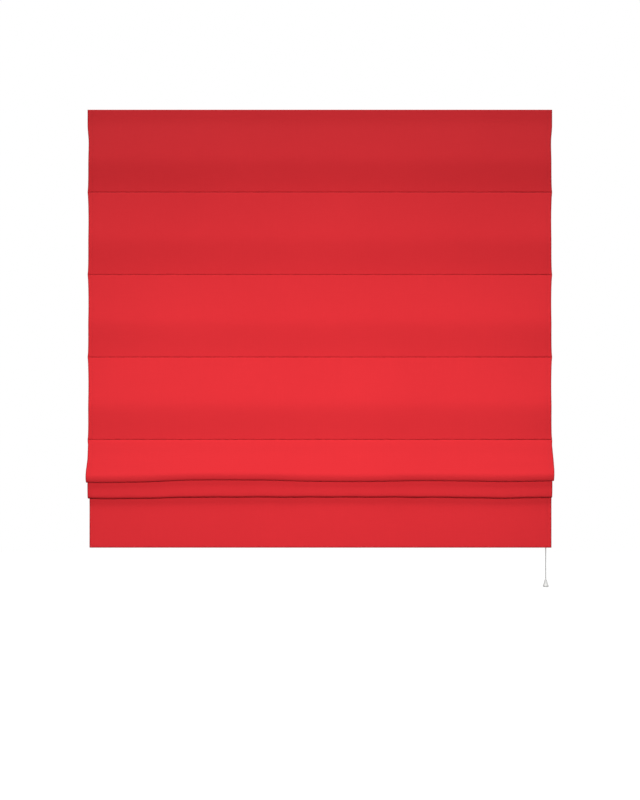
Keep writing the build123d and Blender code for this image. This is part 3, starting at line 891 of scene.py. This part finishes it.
# Pull: a turned connector joins the lift cords to one thicker braided cord, which hangs straight
# and ends in a knot inside a small white bell.
def turned(name, profile, place, finish):
    """A profile of (radius, height) points in millimetres turned round an upright axis. A profile
    that ends where it began is closed on itself, any other is capped."""
    profile = np.asarray(profile, float) * mm
    turn = np.linspace(0, 2 * math.pi, 73)[:-1]
    x = place[0] + profile[:, :1] * np.cos(turn)
    y = place[1] + profile[:, :1] * np.sin(turn)
    z = place[2] + profile[:, 1:] + 0 * x
    open_ended = not np.allclose(profile[0], profile[-1])
    made = surface(name, x, y, z, finish, wrap=True, caps=open_ended)
    work = bmesh.new()
    work.from_mesh(made.data)
    bmesh.ops.remove_doubles(work, verts=work.verts, dist=1e-7)
    bmesh.ops.recalc_face_normals(work, faces=work.faces)
    work.to_mesh(made.data)
    work.free()
    return made


pull_y = (connector_low.y + connector_high.y) / 2
connector = turned("turned_connector", [
    (1.4, 2.0), (1.4, 0.2), (1.6, 0), (3.4, 0), (4.6, 0.3), (5.4, 1.0), (5.85, 2.2), (6.0, 4.0),
    (6.0, 9.6), (5.9, 10.1), (5.5, 10.5), (5.5, 11.1), (5.9, 11.5), (6.0, 12), (6.0, 18.0),
    (5.85, 19.8), (5.4, 21.0), (4.6, 21.7), (3.4, 22), (1.0, 22),
], (pull_x, pull_y, connector_low.z), white_plastic)
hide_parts("cord_connector")
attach(connector, "pull_set")

bell_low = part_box("cord_bell")[0].z
bell = turned("turned_bell", [
    (1.55, 20.3), (1.8, 20.5), (2.6, 20.5), (3.05, 20.2), (3.2, 19.7), (3.15, 19.2), (3.0, 18.8),
    (3.0, 18.4), (3.2, 17.8), (3.4, 16.8), (3.75, 15.2), (4.15, 13.4), (4.65, 11.6), (5.2, 9.8),
    (5.8, 8.0), (6.45, 6.3), (7.0, 4.9), (7.35, 3.8), (7.5, 3.1), (7.5, 1.0), (7.38, 0.45),
    (7.1, 0.1), (6.7, 0), (5.3, 0), (4.9, 0.12), (4.67, 0.45), (4.6, 1.0), (4.6, 6.9), (4.45, 7.3),
    (4.1, 7.5), (1.8, 7.5), (1.55, 7.7), (1.55, 20.3),
], (pull_x, pull_y, bell_low), white_plastic)
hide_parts("cord_bell")
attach(bell, "pull_set")

knot_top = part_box("cord_knot")[1].z
knot_drop = 2.2 * mm  # from the knot's top to its middle
knot_cord = 1.05 * mm
t = np.linspace(0, 2 * math.pi, 97)[:-1]
trefoil = [np.sin(t) + 2 * np.sin(2 * t), np.cos(t) - 2 * np.cos(2 * t), -1.35 * np.sin(3 * t)]
trefoil = np.stack(trefoil, axis=1) * 0.74 * mm + (pull_x, pull_y, knot_top - knot_drop)
ahead = np.roll(trefoil, -1, axis=0) - np.roll(trefoil, 1, axis=0)
turn, ring = rings_round(trefoil, ahead, (0.0, 0.0, 1.0), 16)
tube = trefoil[:, None] + ring * knot_cord
x, y, z = np.moveaxis(np.concatenate([tube, tube[:1]]), -1, 0)
lengths = (turn * mm + 0 * x, np.arange(len(x))[:, None] * 0.22 * mm + 0 * x)
knot = surface("cord_end_knot", x, y, z, cord_white, lengths, wrap=True)
s = np.linspace(0, 1, 5)
tail_line = np.stack([pull_x + 0.3 * mm * s, 0 * s + pull_y, knot_top - (3.4 + 2.6 * s) * mm], axis=1)
knot = join([knot, tubes("tail", [tail_line], 1.1 * mm, cord_white, sides=16)])
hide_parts("cord_knot")
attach(knot, "pull_set")


def braid_relief(run, turn):
    """Sixteen plaited strands: two sets of eight that wind opposite ways, a lay length of 9 mm."""
    lay = 2 * math.pi * run / (9 * mm)
    return 0.96 + 0.045 * np.maximum(np.cos(4 * (turn + lay)), np.cos(4 * (turn - lay)))


pull_radius = 1.2 * mm
start, end = connector_low.z, knot_top - 1.5 * mm
drop = start - end
line = spline([
    (pull_x, pull_y, start), (pull_x, pull_y, start - 0.12 * drop),
    (pull_x + 0.5 * mm, pull_y - 0.2 * mm, start - 0.5 * drop),
    (pull_x, pull_y, start - 0.88 * drop), (pull_x, pull_y, end),
])
pull = tubes("pull_cord_braid", [line], pull_radius, cord_white, braid_relief, 24, 0.75 * mm)
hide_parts("pull_cord")
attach(pull, "pull_set")


# Floor and light: a pale floor about a metre below the blind, a high key light that draws the
# shadows under the folds, a wide low light in front, a broad one behind, and an even pale room.
floor_level = -2.2
floor_x, floor_y = np.meshgrid((-8.0, 8.0), (-8.0, 8.0))
floor_finish, tree, shader = new_finish("floor", (0.12, 0.12, 0.12), 0.9)
floor = surface("floor", floor_x, floor_y, 0 * floor_x + floor_level, floor_finish)
seen = add(tree, "ShaderNodeLightPath").outputs["Is Camera Ray"]
shader.inputs["Emission Color"].default_value = (1, 1, 1, 1)
glow = add(tree, "ShaderNodeMapRange", {0: seen, 3: 0.0, 4: 0.93}).outputs[0]
tree.links.new(glow, shader.inputs["Emission Strength"])
room = bpy.data.worlds.new("room")
bpy.context.scene.world = room
room.use_nodes = True
tree = room.node_tree
seen = add(tree, "ShaderNodeLightPath").outputs["Is Camera Ray"]
tree.nodes["Background"].inputs[0].default_value = (1, 1, 1, 1)
bright = add(tree, "ShaderNodeMapRange", {0: seen, 3: 0.14, 4: 1.0}).outputs[0]
tree.links.new(bright, tree.nodes["Background"].inputs[1])


def light(name, kind, place, aim, power, **shape):
    """A studio light at a place, pointed at another."""
    made = bpy.data.objects.new(name, bpy.data.lights.new(name, kind))
    bpy.context.scene.collection.objects.link(made)
    made.data.energy = power
    for label, value in shape.items():
        setattr(made.data, label, value)
    made.location = place
    x, y, z = np.subtract(aim, place)
    made.rotation_euler = (math.atan2(math.hypot(x, y), -z), 0, math.atan2(y, x) - math.pi / 2)
    made.visible_camera = False


light("key_light", "SUN", (-0.3, -1.0, 4.3), (0, 0, 0), 2.6, angle=math.radians(14))
light("front_light", "AREA", (-0.02, -1.2, -0.8), (0, 0, -0.8), 15.4,
      shape="RECTANGLE", size=2.2, size_y=0.35)
light("back_light", "AREA", (0.3, 2.2, 0.4), (0, 0, -0.6), 26, shape="RECTANGLE", size=1.5, size_y=1.5)
